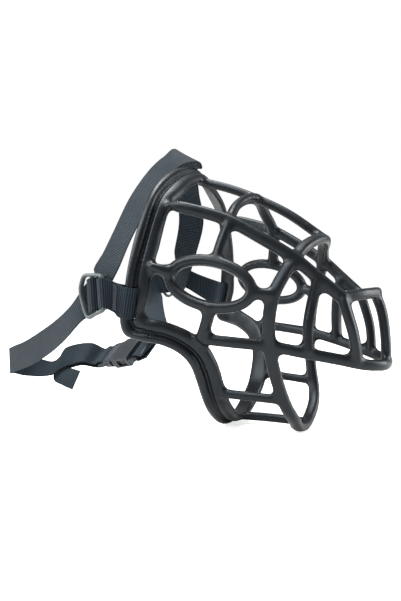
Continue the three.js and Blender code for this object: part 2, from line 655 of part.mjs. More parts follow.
// The whole run of the neck strap: from its sewn end round the socket's bar, up the far side,
// through the far slider, over the rim, down through the near slider, back to the fold, and
// through the plug to its loose tail.
function strapRun() {
  const barAt = SOCKET_END - BUCKLE_BAR / 2;
  const onBar = v(2.2, 15.7, 12.1);
  const sewn = [
    [bucklePoint(SOCKET_END + 10, 0, -1.2), onBar],
    [bucklePoint(SOCKET_END + 4, 0, -2.2), onBar],
  ];
  const farLeg = [
    [bucklePoint(SOCKET_END + 4, 0, 1.4), onBar],
    [bucklePoint(SOCKET_END + 9, 0, 1.6), v(4, 15.5, 12)],
    [v(-124.5, 16, 58), v(11, 14, 9)],
    [v(-130, 24, 65.5), v(16, 12, 3)],
    [v(-138, 34, 74), v(17, 10, 2)],
    [v(-144, 43, 84), v(16, 7, 8)],
  ];
  const farTop = [
    [v(-112, 45, 127), v(16, 9, -4)],
    [v(-100.6, 35.2, 151), v(18.2, 8.6, -3)],
    [v(-96.3, 21.8, 176), v(17.5, 5, -7.5)],
    [v(-91, 11, 191), v(17, 3, -8)],
  ];
  const crest = [[v(-85.5, 0, 195.5), v(22, 2, -12)]];
  const nearTop = [
    [v(-91.6, -10, 190.2), v(16, -1, -8)],
    [v(-96.3, -23, 177.6), v(16.4, -3, -9.4)],
    [v(-102.3, -39.4, 158.4), v(19, -4, -8)],
    [v(-104.7, -57, 134.2), v(18.3, -7, -7.4)],
    [v(-107.4, -66, 118.2), v(16.8, -6, -10)],
    [v(-109.8, -70.8, 106), v(13.6, -4, -15)],
  ];
  const flip = ([c, a]) => [c, a.clone().negate()];
  const lower = [
    [v(-133, -75, 80.8), v(12, -6.8, -11.4)],
    [v(-156, -64, 68.9), v(12.2, -7.2, -14.5)],
    [v(-183, -51, 57.9), v(9, -5, -18)],
    [v(-213, -37, 47.7), v(5, -3, -20)],
    [v(-242, -23.5, 40), v(1.5, -1, -21.5)],
  ];
  const fold = [
    [v(-250.5, -18.5, 37.3), v(0, 0, -22)],
    [v(-250.2, -15.2, 36.6), v(0, 0, -21)],
  ];
  const back = [
    [v(-241, -10.5, 33), v(-1, -4, -17.5)],
    [v(-233.5, -4.5, 30.5), v(-1, -12, -13)],
    [v(-227.4, 0.6, 29.0), v(0, -15, -11)],
    [v(-222.8, 6.8, 30.8), v(3, -13, -13.5)],
    [v(-220, 13.6, 36.8), v(3.4, -11, -17)],
    [v(-212, 20.5, 40), v(1, -12, -17)],
    [v(-202, 25, 41.2), v(-1.5, -14.5, -15)],
  ];
  const tail = [
    [bucklePoint(-9, 0, -2.1), onBar],
    [v(-204, 27.8, 37.6), v(1.5, 14, 15)],
    [v(-213.5, 23.6, 36.4), v(-1, 12, 16)],
    [v(-221.5, 18.3, 33.2), v(-3, 13, 15)],
    [v(-227.5, 14, 29), v(-5, 14, 12)],
    [v(-223.5, 9.5, 25), v(-5, 14.5, 12.5)],
    [v(-213, 7.6, 22.4), v(-3.5, 14, 13)],
    [v(-202.4, 9.3, 19), v(-1.8, 13.7, 13.9)],
  ];
  const atPlug = [
    [bucklePoint(-8, 0, 1.6), onBar], ...roundBar(BUCKLE_BAR / 2, -1).reverse(),
  ];
  const lift = 1.5;
  const before = [
    ...sewn, ...roundBar(barAt, 1), ...farLeg,
    ...throughSlider(FAR_SLIDER, -lift).reverse().map(flip),
    ...farTop, ...crest, ...nearTop, ...throughSlider(NEAR_SLIDER, lift).map(flip),
  ];
  const after = [...lower, ...fold, ...back, ...[...atPlug, ...tail].map(flip)];
  return { stations: [...before, ...after], paidOut: before.length + 0.35 };
}

// The strap is in two pieces that meet behind the near slider: the second one goes with the plug.
function neckStrap() {
  const { stations, paidOut } = strapRun();
  const last = stations.length - 1;
  const apart = 0.014;
  const [rows, endRows] = [150, 84];
  return [
    named('neck_strap', webbing(stations, rows, 0, paidOut), WEBBING),
    named('neck_strap_end', webbing(stations, endRows, paidOut + apart, last), WEBBING),
  ];
}

function sewnEnd() {
  const [centre, across] = [bucklePoint(SOCKET_END + 6, 0, 1.5), BUCKLE.across];
  return bartack('bartack_socket', centre, across, BUCKLE.face);
}

const muzzle = new THREE.Group();
muzzle.add(
  basket(), ...neckStrap(), sewnEnd(),
  ...sideStrap('side_strap_near', 'bartack_near', -1, NEAR_SLIDER),
  ...sideStrap('side_strap_far', 'bartack_far', 1, FAR_SLIDER),
  slider('slider_near', NEAR_SLIDER), slider('slider_far', FAR_SLIDER),
  buckleSocket(), bucklePlug(),
  buckleProng('buckle_prong_upper', 1), buckleProng('buckle_prong_lower', -1),
);

export default muzzle;
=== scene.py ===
"""Basket muzzle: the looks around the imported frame.

Metres in Blender and in the CAD frame: +X to the nose, +Z up, +Y the dog's left side. Shapes are
laid out in millimetres below and scaled when their mesh is made.
"""

import math

import bmesh
import bpy
from mathutils import Matrix, Vector, kdtree


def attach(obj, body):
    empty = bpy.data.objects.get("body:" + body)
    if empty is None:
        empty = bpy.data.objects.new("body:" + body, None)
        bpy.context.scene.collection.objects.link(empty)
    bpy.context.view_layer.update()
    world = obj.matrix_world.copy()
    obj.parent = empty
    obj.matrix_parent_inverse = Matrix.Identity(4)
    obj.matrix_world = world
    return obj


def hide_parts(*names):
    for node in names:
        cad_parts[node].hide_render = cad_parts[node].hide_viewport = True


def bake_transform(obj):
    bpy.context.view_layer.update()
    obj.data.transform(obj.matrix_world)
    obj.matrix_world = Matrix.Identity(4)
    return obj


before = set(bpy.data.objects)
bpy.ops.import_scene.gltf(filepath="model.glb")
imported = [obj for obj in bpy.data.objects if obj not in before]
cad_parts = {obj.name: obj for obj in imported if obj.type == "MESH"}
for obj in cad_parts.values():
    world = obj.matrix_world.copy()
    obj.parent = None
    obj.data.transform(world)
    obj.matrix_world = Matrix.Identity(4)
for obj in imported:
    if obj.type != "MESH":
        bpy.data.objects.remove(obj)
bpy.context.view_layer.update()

MM = 0.001
WEB = 20.0             # webbing, wide
PLY = 1.3              # webbing, thick
RIB = 1.42             # pitch of the webbing's cross ribs
RIB_ROWS = 4           # mesh rows in one rib
RIB_SWELL = 0.14       # how far the ribs rise and sink, as a share of half the thickness
YARNS = 26             # yarns over the webbing's width
BEAD = 3.3             # radius of the rim's rolled bead
GAP = 0.35             # clearance between parts that touch or slide
SLIDER_LONG, SLIDER_WIDE, SLIDER_THICK, SLIDER_BAR = 31.0, 20.8, 2.0, 2.2
BUCKLE_WIDE, BUCKLE_THICK = 28.0, 9.4
BUCKLE_THIN = 3.0      # thickness of the buckle at its bars
BUCKLE_BAR, BUCKLE_SLOT = 2.6, 5.6
PLUG_LENGTH, SOCKET_LENGTH = 22.0, 21.0

BAR_STEP = 1.6         # mesh rows along a bar are this far apart
BAR_SIDES = 20         # mesh columns round a bar
SQUARE = 0.68          # how square a bar's rounded section is: 1 is an ellipse, 0 a rectangle
FLARE_RUN = 5.0        # a flared end widens over about this length
CREASE = 50            # degrees; sharper edges of the webbing stay sharp
BASKET_VOXEL, BASKET_FILLET = 0.8, 2.4
SLIDER_FILLET = 0.7
SMALL_VOXEL = 0.28     # for the sliders and the buckle
PRONG_VOXEL = 0.22


def V(*xyz):
    return Vector(xyz)


# ---------- curves ----------


class Spline:
    """Centripetal Catmull-Rom through the points, as in the CAD."""

    NEARBY = 0.0004    # half the span of t that a tangent is taken over
    FINE = 1200        # short chords that a length is added up from

    def __init__(self, points, closed=False):
        self.points = [Vector(p) for p in points]
        self.closed = closed

    def at(self, t):
        pts = self.points
        n = len(pts)
        place = (n if self.closed else n - 1) * t
        i = math.floor(place)
        w = place - i
        if self.closed:
            i %= n
        elif i >= n - 1:
            i, w = n - 2, 1.0
        elif i < 0:
            i, w = 0, 0.0
        p0 = pts[i - 1] if self.closed or i > 0 else pts[0] * 2 - pts[1]
        p1 = pts[i]
        p2 = pts[(i + 1) % n]
        p3 = pts[(i + 2) % n] if self.closed or i + 2 < n else pts[n - 1] * 2 - pts[n - 2]
        d1 = math.sqrt((p2 - p1).length) or 1.0
        d0 = math.sqrt((p1 - p0).length) or d1
        d2 = math.sqrt((p3 - p2).length) or d1
        t1 = ((p1 - p0) / d0 - (p2 - p0) / (d0 + d1) + (p2 - p1) / d1) * d1
        t2 = ((p2 - p1) / d1 - (p3 - p1) / (d1 + d2) + (p3 - p2) / d2) * d1
        c2 = (p2 - p1) * 3 - t1 * 2 - t2
        c3 = (p1 - p2) * 2 + t1 + t2
        return p1 + t1 * w + c2 * (w * w) + c3 * (w * w * w)

    def tangent(self, t):
        a, b = t - self.NEARBY, t + self.NEARBY
        if not self.closed:
            a, b = max(0.0, a), min(1.0, b)
        return (self.at(b) - self.at(a)).normalized()

    def evenly(self, step, start=0.0, end=1.0):
        """Parameters that cut the curve from start to end in equal lengths of about `step`."""
        ts = [start + (end - start) * k / self.FINE for k in range(self.FINE + 1)]
        points = [self.at(t) for t in ts]
        run = [0.0]
        for a, b in zip(points, points[1:]):
            run.append(run[-1] + (b - a).length)
        count = max(2, round(run[-1] / step))
        out, k = [], 0
        for j in range(count + 1):
            want = run[-1] * j / count
            while k < self.FINE - 1 and run[k + 1] < want:
                k += 1
            span = run[k + 1] - run[k]
            f = (want - run[k]) / span if span > 0 else 0.0
            out.append(ts[k] + (ts[k + 1] - ts[k]) * min(1.0, max(0.0, f)))
        return out, run[-1]


def mirror(points):
    return [V(p[0], -p[1], p[2]) for p in points]


# ---------- meshes ----------


def new_object(name, verts, faces, scale=MM):
    mesh = bpy.data.meshes.new(name)
    mesh.from_pydata([tuple(p * scale) for p in verts], [], faces)
    mesh.validate()
    piece = bpy.data.objects.new(name, mesh)
    bpy.context.scene.collection.objects.link(piece)
    return piece


def loft_data(rings, closed=False):
    count = len(rings[0])
    verts = [p for ring in rings for p in ring]
    faces = []
    rows = len(rings) if closed else len(rings) - 1
    for i in range(rows):
        a, b = i * count, ((i + 1) % len(rings)) * count
        for j in range(count):
            k = (j + 1) % count
            faces.append((a + j, a + k, b + k, b + j))
    if not closed:
        last = (len(rings) - 1) * count
        faces.append(tuple(reversed(range(count))))
        faces.append(tuple(last + j for j in range(count)))
    return verts, faces


def face_out(piece):
    bm = bmesh.new()
    bm.from_mesh(piece.data)
    bmesh.ops.recalc_face_normals(bm, faces=bm.faces)
    bm.to_mesh(piece.data)
    bm.free()


def smooth_shade(piece, angle=None):
    for polygon in piece.data.polygons:
        polygon.use_smooth = True
    if angle is not None:
        piece.data.set_sharp_from_angle(angle=math.radians(angle))


def modify(piece, kind, **settings):
    modifier = piece.modifiers.new(kind, kind)
    for key, value in settings.items():
        setattr(modifier, key, value)
    bpy.ops.object.select_all(action="DESELECT")
    bpy.context.view_layer.objects.active = piece
    piece.select_set(True)
    bpy.ops.object.modifier_apply(modifier=modifier.name)


def join(pieces, name):
    bpy.ops.object.select_all(action="DESELECT")
    for piece in pieces:
        piece.select_set(True)
    bpy.context.view_layer.objects.active = pieces[0]
    if len(pieces) > 1:
        bpy.ops.object.join()
    pieces[0].name = name
    pieces[0].data.name = name
    return pieces[0]


def cut(piece, cutters):
    for cutter in cutters:
        modify(piece, "BOOLEAN", object=cutter, operation="DIFFERENCE", solver="EXACT")
        bpy.data.objects.remove(cutter)


def voxels(piece, size, passes, grow=0.0):
    """Remeshes the piece, smooths it, and moves its skin outwards by `grow` millimetres."""
    modify(piece, "REMESH", mode="VOXEL", voxel_size=size * MM, adaptivity=0.0)
    modify(piece, "SMOOTH", factor=0.5, iterations=passes)
    if grow:
        modify(piece, "DISPLACE", strength=grow * MM, mid_level=0.0)


def moulded(pieces, name, voxel, passes, fillet=0.0, cutters=()):
    """One moulding from overlapping closed pieces, with its inner corners filled to a radius."""
    piece = join(pieces, name)
    if fillet:
        voxels(piece, voxel, 3, fillet)
        voxels(piece, voxel, 2, -fillet)
        cut(piece, cutters)
    voxels(piece, voxel, passes)
    smooth_shade(piece)
    return piece


def box(x_range, y_range, z_range, basis):
    corners = [basis @ V(x, y, z) for x in x_range for y in y_range for z in z_range]
    faces = [(0, 1, 3, 2), (4, 6, 7, 5), (0, 4, 5, 1), (2, 3, 7, 6), (0, 2, 6, 4), (1, 5, 7, 3)]
    piece = new_object("block", corners, faces)
    face_out(piece)
    return piece


def prism(name, outline, z0, z1, basis):
    """A flat shape in the x and y of `basis`, drawn up from z0 to z1."""
    low = [basis @ V(x, y, z0) for x, y in outline]
    high = [basis @ V(x, y, z1) for x, y in outline]
    piece = new_object(name, *loft_data([low, high]))
    face_out(piece)
    return piece


def basis_of(x_axis, y_axis, z_axis, origin):
    rows = Matrix((x_axis, y_axis, z_axis)).transposed().to_4x4()
    rows.translation = origin
    return rows


# ---------- materials ----------


class Nodes:
    def __init__(self, name):
        self.material = bpy.data.materials.new(name)
        self.material.use_nodes = True
        self.tree = self.material.node_tree
        self.shader = self.tree.nodes["Principled BSDF"]

    def add(self, kind, **values):
        node = self.tree.nodes.new(kind)
        for key, value in values.items():
            setattr(node, key, value)
        return node

    def link(self, a, b):
        self.tree.links.new(a, b)

    def object_place(self):
        return self.add("ShaderNodeTexCoord").outputs["Object"]

    def noise(self, vector, scale, detail=3.0, roughness=0.5):
        node = self.add("ShaderNodeTexNoise")
        node.inputs["Scale"].default_value = scale
        node.inputs["Detail"].default_value = detail
        node.inputs["Roughness"].default_value = roughness
        self.link(vector, node.inputs["Vector"])
        return node.outputs["Fac"]

    def ramp(self, fac, stops):
        node = self.add("ShaderNodeValToRGB")
        ramp = node.color_ramp
        while len(ramp.elements) < len(stops):
            ramp.elements.new(0.5)
        for element, (place, colour) in zip(ramp.elements, stops):
            element.position = place
            element.color = (*colour, 1.0) if not isinstance(colour, float) else (colour,) * 3 + (1.0,)
        self.link(fac, node.inputs["Fac"])
        return node.outputs["Color"]

    def maths(self, operation, a, b=None):
        node = self.add("ShaderNodeMath", operation=operation)
        for socket, value in zip(node.inputs, (a, b)):
            if value is None:
                continue
            if isinstance(value, (int, float)):
                socket.default_value = value
            else:
                self.link(value, socket)
        return node.outputs["Value"]

    def bump(self, height, strength, distance, normal=None):
        node = self.add("ShaderNodeBump")
        node.inputs["Strength"].default_value = strength
        node.inputs["Distance"].default_value = distance
        self.link(height, node.inputs["Height"])
        if normal is not None:
            self.link(normal, node.inputs["Normal"])
        return node.outputs["Normal"]


TINT = (0.8, 0.92, 1.0, 1.0)     # cool tint of the soft reflections


def plastic(name, dark, light, rough_low, rough_high, specular=0.5):
    """Moulded plastic: faint cloudy colour, uneven gloss, a fine grain and worn, paler edges."""
    n = Nodes(name)
    place = n.object_place()
    clouds = n.noise(place, 22.0, 4.0, 0.6)
    colour = n.ramp(clouds, [(0.3, dark), (0.72, light)])
    geometry = n.add("ShaderNodeNewGeometry")
    edges = n.ramp(geometry.outputs["Pointiness"], [(0.51, 0.0), (0.58, 1.0)])
    scuff = n.maths("MULTIPLY", edges, n.noise(place, 260.0, 2.0))
    mix = n.add("ShaderNodeMix", data_type="RGBA")
    n.link(n.maths("MULTIPLY", scuff, 0.5), mix.inputs["Factor"])
    n.link(colour, mix.inputs[6])
    mix.inputs[7].default_value = (*[min(1.0, c * 2.2 + 0.02) for c in light], 1.0)
    n.link(mix.outputs[2], n.shader.inputs["Base Color"])
    wear = n.noise(place, 75.0, 5.0, 0.65)
    n.link(n.ramp(wear, [(0.3, rough_low), (0.75, rough_high)]), n.shader.inputs["Roughness"])
    fine = n.bump(n.noise(place, 1900.0, 2.0), 0.35, 0.00004)
    broad = n.bump(n.noise(place, 120.0, 2.0), 0.25, 0.00012, fine)
    n.link(broad, n.shader.inputs["Normal"])
    n.shader.inputs["Specular IOR Level"].default_value = specular
    n.shader.inputs["Specular Tint"].default_value = TINT
    return n.material


def webbing_material(name):
    """Ribbed nylon webbing, with painted shade that darkens the valleys between the ribs. U runs over the
    width and V along the length, both in webbing widths.
    """
    n = Nodes(name)
    coordinates = n.add("ShaderNodeUVMap", uv_map="weave")
    split = n.add("ShaderNodeSeparateXYZ")
    n.link(coordinates.outputs["UV"], split.inputs["Vector"])
    across = split.outputs["X"]
    along = split.outputs["Y"]
    turn = n.maths("MULTIPLY", along, 2 * math.pi * WEB / RIB)
    # painted shade: this rib wave makes the colour paler on the rib crests and darker in the valleys
    # between them
    rib = n.maths("MULTIPLY_ADD", n.maths("COSINE", turn), 0.5)
    rib.node.inputs[2].default_value = 0.5
    yarn_turn = n.maths("MULTIPLY", across, 2 * math.pi * YARNS)
    half_rib = n.maths("MULTIPLY", turn, 0.5)
    weave = n.maths("MULTIPLY", n.maths("SINE", yarn_turn), n.maths("SINE", half_rib))
    weave01 = n.maths("MULTIPLY_ADD", weave, 0.5)
    weave01.node.inputs[2].default_value = 0.5
    place = n.object_place()
    clouds = n.noise(place, 34.0, 5.0, 0.6)
    fuzz = n.noise(place, 2600.0, 2.0)
    # the colour mixes the painted rib shade with the weave pattern, the cloudy tone and the fuzz
    tone_and_painted_rib_shade = n.maths("ADD", n.maths("MULTIPLY", rib, 0.66), n.maths("MULTIPLY", weave01, 0.18))
    tone_and_painted_rib_shade = n.maths("ADD", tone_and_painted_rib_shade, n.maths("MULTIPLY", clouds, 0.22))
    tone_and_painted_rib_shade = n.maths("ADD", tone_and_painted_rib_shade, n.maths("MULTIPLY", fuzz, 0.14))
    colour = n.ramp(tone_and_painted_rib_shade, [(0.22, (0.0008, 0.0014, 0.0024)), (0.6, (0.0036, 0.0064, 0.0095)),
                           (0.95, (0.023, 0.036, 0.047))])
    n.link(colour, n.shader.inputs["Base Color"])
    n.link(n.ramp(clouds, [(0.3, 0.62), (0.7, 0.8)]), n.shader.inputs["Roughness"])
    height = n.maths("ADD", n.maths("MULTIPLY", weave01, 0.7), n.maths("MULTIPLY", fuzz, 0.3))
    n.link(n.bump(height, 0.55, 0.00012), n.shader.inputs["Normal"])
    n.shader.inputs["Sheen Weight"].default_value = 0.045
    n.shader.inputs["Sheen Roughness"].default_value = 0.45
    n.shader.inputs["Specular IOR Level"].default_value = 0.2
    n.shader.inputs["Specular Tint"].default_value = TINT
    return n.material


def thread_material(name):
    """Sewing thread, a little paler than the webbing."""
    n = Nodes(name)
    place = n.object_place()
    strands = n.noise(place, 3200.0, 2.0)
    n.link(n.ramp(strands, [(0.3, (0.016, 0.02, 0.026)), (0.7, (0.05, 0.06, 0.07))]),
           n.shader.inputs["Base Color"])
    n.link(n.ramp(n.noise(place, 400.0), [(0.3, 0.5), (0.7, 0.72)]), n.shader.inputs["Roughness"])
    n.link(n.bump(strands, 0.5, 0.00008), n.shader.inputs["Normal"])
    n.shader.inputs["Sheen Weight"].default_value = 0.2
    return n.material


BASKET_PLASTIC = plastic("basket plastic", (0.002, 0.0022, 0.0028), (0.0055, 0.006, 0.0075),
                         0.3, 0.46, specular=0.3)
SLIDER_PLASTIC = plastic("slider plastic", (0.05, 0.061, 0.06), (0.08, 0.095, 0.092), 0.36, 0.5)
BUCKLE_PLASTIC = plastic("buckle plastic", (0.006, 0.0075, 0.009), (0.014, 0.0165, 0.019),
                         0.3, 0.45)
WEBBING = webbing_material("webbing")
THREAD = thread_material("thread")


def finish_piece(piece, body, material, replaces=()):
    piece.data.materials.clear()
    piece.data.materials.append(material)
    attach(piece, body)
    if replaces:
        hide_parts(*replaces)
    return piece


# ---------- the basket ----------

RIM_REAR = [
    V(-82.5, 0, 184), V(-84, 20, 181), V(-85.5, 39, 172), V(-85, 54, 160), V(-86, 63, 145),
    V(-88.5, 68.5, 129), V(-91, 73, 110), V(-93.5, 74, 93), V(-97.5, 72.5, 78), V(-95, 71.5, 69),
    V(-85, 70.5, 65.4), V(-73, 64.5, 62.4), V(-62.5, 59, 56.5), V(-57, 55.5, 49), V(-55, 51.5, 39),
    V(-54.8, 46, 29.5), V(-55, 38.5, 19.5), V(-56, 27, 10.5), V(-56.5, 14, 4.2), V(-56.5, 0, 2.4),
]
RIM_FRONT = [
    V(-68.5, 0, 177), V(-69.5, 17, 171.5), V(-69.3, 34, 162), V(-72, 47.5, 151), V(-72.8, 54.5, 139),
    V(-73.6, 60.3, 126), V(-76, 67, 109), V(-77.5, 69.5, 93), V(-80.5, 70.5, 83), V(-78.5, 70, 80),
    V(-73, 67.5, 78.5), V(-64, 61.5, 75.3), V(-54, 57.5, 70), V(-46, 51.5, 62), V(-40.8, 46.5, 49),
    V(-38.8, 42, 34), V(-38.5, 35, 22), V(-39.5, 23, 12.5), V(-40.5, 12, 6.4), V(-40.5, 0, 4.8),
]
# (place from the bead's edge, 0, to the band's edge, 1; height over the wall in mm)
RIM_SECTION = [
    (0.0, 0.0), (0.02, 1.3), (0.06, 2.3), (0.12, 3.0), (0.2, BEAD), (0.28, 3.0), (0.345, 2.0),
    (0.385, 0.6), (0.42, -0.5), (0.47, -0.7), (0.505, 0.3), (0.53, 1.35), (0.58, 1.75), (0.7, 1.75),
    (0.8, 1.6), (0.88, 0.5), (0.95, -0.7), (1.0, -1.9), (0.995, -2.9), (0.96, -3.6), (0.7, -3.7),
    (0.45, -3.6), (0.2, -BEAD), (0.1, -2.8), (0.03, -1.5),
]
RIM_STATIONS = 240
SLOT_AT = 0.5          # the strap slot's place between the bead's edge and the band's edge
SLOT_STATION = 0.188   # and round the rim, from the top
SLOT_LENGTH, SLOT_WIDE = 21.0, 3.2
SLOT_REACH = 8.0       # the cutter goes this far each way through the wall
SLOT_SIDES = 16


def full_loop(half):
    return Spline(half + list(reversed(mirror(half[1:-1]))), closed=True)


REAR_LOOP, FRONT_LOOP = full_loop(RIM_REAR), full_loop(RIM_FRONT)


def rim_frame(t):
    """The bead's edge, the way from there to the band's edge, and the way out of the wall."""
    a, b = REAR_LOOP.at(t), FRONT_LOOP.at(t)
    across = b - a
    along = REAR_LOOP.tangent(t) + FRONT_LOOP.tangent(t)
    return a, across, across.cross(along).normalized()


def rim():
    rings = []
    for i in range(RIM_STATIONS):
        a, across, out = rim_frame(i / RIM_STATIONS)
        rings.append([a + across * u + out * n for u, n in RIM_SECTION])
    piece = new_object("rim", *loft_data(rings, closed=True))
    face_out(piece)
    return piece


def slot_frame(side):
    t = SLOT_STATION if side > 0 else 1 - SLOT_STATION
    a, b = REAR_LOOP.at(t), FRONT_LOOP.at(t)
    up = (REAR_LOOP.at(t + 0.02) - REAR_LOOP.at(t - 0.02)).normalized()
    if up.z < 0:
        up = -up
    across = b - a
    length = across.length
    across.normalize()
    across = (across - up * across.dot(up)).normalized()
    out = across.cross(up).normalized()
    if out.y * side < 0:
        out = -out
    return {"bead": a + across * BEAD, "edge": a, "across": across, "up": up, "out": out,
            "length": length}


def slot_cutter(side):
    s = slot_frame(side)
    middle = s["edge"] + s["across"] * (s["length"] * SLOT_AT)
    basis = basis_of(s["across"], s["up"], s["out"], middle)
    outline = []
    half_long, half_wide = SLOT_LENGTH / 2, SLOT_WIDE / 2
    for k in range(SLOT_SIDES):
        angle = 2 * math.pi * k / SLOT_SIDES
        end = half_long - half_wide if math.sin(angle) > 0 else half_wide - half_long
        outline.append((half_wide * math.cos(angle), end + half_wide * math.sin(angle)))
    return prism("slot", outline, -SLOT_REACH, SLOT_REACH, basis)



def bar(points, wide, deep, closed=False, flare=(1.0, 1.0), lean=V(0, 0, 1)):
    """A rounded bar along the points, `wide` across the `lean` and `deep` along it.

    Each end is `flare` times as thick as the middle.
    """
    path = Spline(points, closed)
    ts, length = path.evenly(BAR_STEP)
    if closed:
        ts = ts[:-1]
    side = None
    rings = []
    for k, t in enumerate(ts):
        tangent = path.tangent(t)
        if side is None:
            side = tangent.cross(lean)
            if side.length < 0.2:
                side = tangent.cross(V(0, 1, 0))
        side = (side - tangent * side.dot(tangent)).normalized()
        other = tangent.cross(side).normalized()
        run = length * k / max(1, len(ts) - 1)
        grow = 1.0
        if not closed:
            grow += (flare[0] - 1) * math.exp(-((run / FLARE_RUN) ** 2))
            grow += (flare[1] - 1) * math.exp(-(((length - run) / FLARE_RUN) ** 2))
        ring = []
        for j in range(BAR_SIDES):
            angle = 2 * math.pi * j / BAR_SIDES
            c, s = math.cos(angle), math.sin(angle)
            c = math.copysign(abs(c) ** SQUARE, c)
            s = math.copysign(abs(s) ** SQUARE, s)
            ring.append(path.at(t) + side * (c * wide / 2 * grow) + other * (s * deep / 2 * grow))
        rings.append(ring)
    piece = new_object("bar", *loft_data(rings, closed))
    face_out(piece)
    return piece


UPRIGHT, LEVEL = 8.2, 7.2     # seen widths of the upright and the level bars
THROUGH = 6.4                 # their depth through the wall
SLIM = 6.0                    # both ways, for the lighter bars over the nose and under the chin
GROOVE_AT = 0.43              # groove's place between the bead's edge and the band's edge
GROOVE_HALF, GROOVE_DEEP = 2.1, 1.7
GROOVE_LIFT = 1.2             # its middle is this far over the wall
GROOVE_REACH = 5.0            # skin further away than this isn't the rim's
WALL_MIDDLE = -2.6            # skin below this is the inside of the wall
RING = {"centre": V(-41.0, 57.0, 100.6), "long": V(26.2, -2.6, -6.4), "high": V(3.2, -1.9, 13.4)}
RING_POINTS = 24


def cheek_ring():
    turns = [2 * math.pi * k / RING_POINTS for k in range(RING_POINTS)]
    return [RING["centre"] + RING["long"] * math.cos(a) + RING["high"] * math.sin(a) for a in turns]


def deepen_groove(piece):
    """Presses the groove in between the rim's bead and band, which the fillets have filled."""
    tree = kdtree.KDTree(RIM_STATIONS)
    frames = []
    for i in range(RIM_STATIONS):
        a, across, out = rim_frame(i / RIM_STATIONS)
        frames.append((across.normalized(), out))
        tree.insert(a + across * GROOVE_AT + out * GROOVE_LIFT, i)
    tree.balance()
    for vertex in piece.data.vertices:
        place = vertex.co / MM
        centre, i, distance = tree.find(place)
        if distance > GROOVE_REACH:
            continue
        across, out = frames[i]
        aside = abs((place - centre).dot(across)) / GROOVE_HALF
        height = (place - centre).dot(out)
        if aside < 1 and height > WALL_MIDDLE:
            vertex.co -= out * (GROOVE_DEEP * MM * math.cos(aside * math.pi / 2) ** 2)


def over(half):
    """A bar from cheek to cheek, from its half on the +y side."""
    return list(reversed(mirror(half))) + half[1:]


def centre_bars():
    top = [V(-76, 0, 176), V(-50, 0, 167.5), V(-31, 0, 159.2), V(-8, 0, 146.8), V(15.8, 0, 129)]
    under = [V(-50, 0, 5.2), V(-20, 0, 5.6), V(1, 0, 5.2)]
    front = [V(48.6, 0, 92), V(52.2, 0, 82), V(54.3, 0, 68), V(55.1, 0, 48.2)]
    return [bar(top, SLIM + 0.3, SLIM + 0.3), bar(under, SLIM, SLIM), bar(front, UPRIGHT, THROUGH)]


def cross_bars():
    first_hoop = [V(-31, 0, 158.7), V(-32.5, 14, 157), V(-34.3, 27, 151.5), V(-33.5, 40, 142.5),
                  V(-34, 46.5, 134), V(-36.5, 51.5, 122), V(-38, 53, 114)]
    nose_hoop = [V(15.9, 0, 128.7), V(14, 12, 127.3), V(9.7, 24, 122.5), V(6.5, 36, 114.5),
                 V(2.5, 43.5, 105.5), V(-2.5, 48.5, 93.5), V(-5.5, 49, 80), V(-6.5, 46.5, 64),
                 V(-6, 42.5, 50), V(-3.6, 38, 35), V(-0.6, 33.2, 22), V(1.2, 25, 13),
                 V(0.8, 13, 5), V(0.8, 0, 2.5)]
    front_arch = [V(49.5, 0, 92.6), V(47.3, 8, 92.5), V(42.5, 18, 92), V(34.3, 29, 90.5)]
    lower_bar = [V(55.3, 0, 47.8), V(53.5, 12, 48.2), V(45, 23, 49.8), V(33, 30, 53), V(15.5, 39, 57.2),
                 V(-6.5, 46, 61.8), V(-26, 52, 64), V(-47, 55.5, 66)]
    return [bar(over(first_hoop), UPRIGHT, THROUGH), bar(over(nose_hoop), UPRIGHT, THROUGH),
            bar(over(front_arch), THROUGH, LEVEL), bar(over(lower_bar), THROUGH, LEVEL)]


def cheek_bars(placed):
    """Bars that a cheek has of its own; `placed` takes them from the +y side to theirs."""
    upper = [V(-73, 50.5, 152.5), V(-55, 48.5, 147.8), V(-33.5, 44.2, 140.2), V(-12, 40.8, 127.7),
             V(7.3, 37.2, 114.7), V(20.5, 33.5, 102.8), V(34.3, 29, 90.3)]
    front_upright = [V(34.5, 29.5, 90), V(37.5, 30, 80), V(40.5, 29, 68), V(42, 25.5, 51)]
    mid_upright = [V(20.3, 33.5, 102), V(17, 35, 88), V(15.3, 38.5, 74), V(15.3, 39.5, 57)]
    to_rim = [V(-77, 68.5, 113), V(-66, 61, 107.5)]
    to_hoop = [V(-15, 54.5, 94.5), V(-2.5, 49, 93)]
    to_corner = [V(-39.5, 58.8, 87.5), V(-43.5, 57.5, 76), V(-48, 56, 66)]
    chin = [V(-43, 40.5, 29.5), V(-24, 38.5, 28.3), V(-2, 35.2, 27)]
    return [
        bar(placed(upper), THROUGH, LEVEL + 0.8, flare=(0.55, 1.0)),
        bar(placed(front_upright), UPRIGHT, THROUGH),
        bar(placed(mid_upright), UPRIGHT, THROUGH),
        bar(placed(to_rim), LEVEL, LEVEL, flare=(0.6, 1.0)),
        bar(placed(to_hoop), LEVEL, LEVEL),
        bar(placed(to_corner), UPRIGHT, THROUGH),
        bar(placed(chin), SLIM, SLIM),
        bar(placed(cheek_ring()), LEVEL + 0.4, THROUGH + 0.6, closed=True),
    ]


def basket():
    pieces = [rim()] + centre_bars() + cross_bars() + cheek_bars(list) + cheek_bars(mirror)
    slots = [slot_cutter(1), slot_cutter(-1)]
    piece = moulded(pieces, "basket_moulding", BASKET_VOXEL, 5, BASKET_FILLET, slots)
    deepen_groove(piece)
    for vertex in piece.data.vertices:
        vertex.co.z = max(0.0, vertex.co.z)
    return finish_piece(piece, "muzzle", BASKET_PLASTIC, ["basket"])


# ---------- webbing ----------

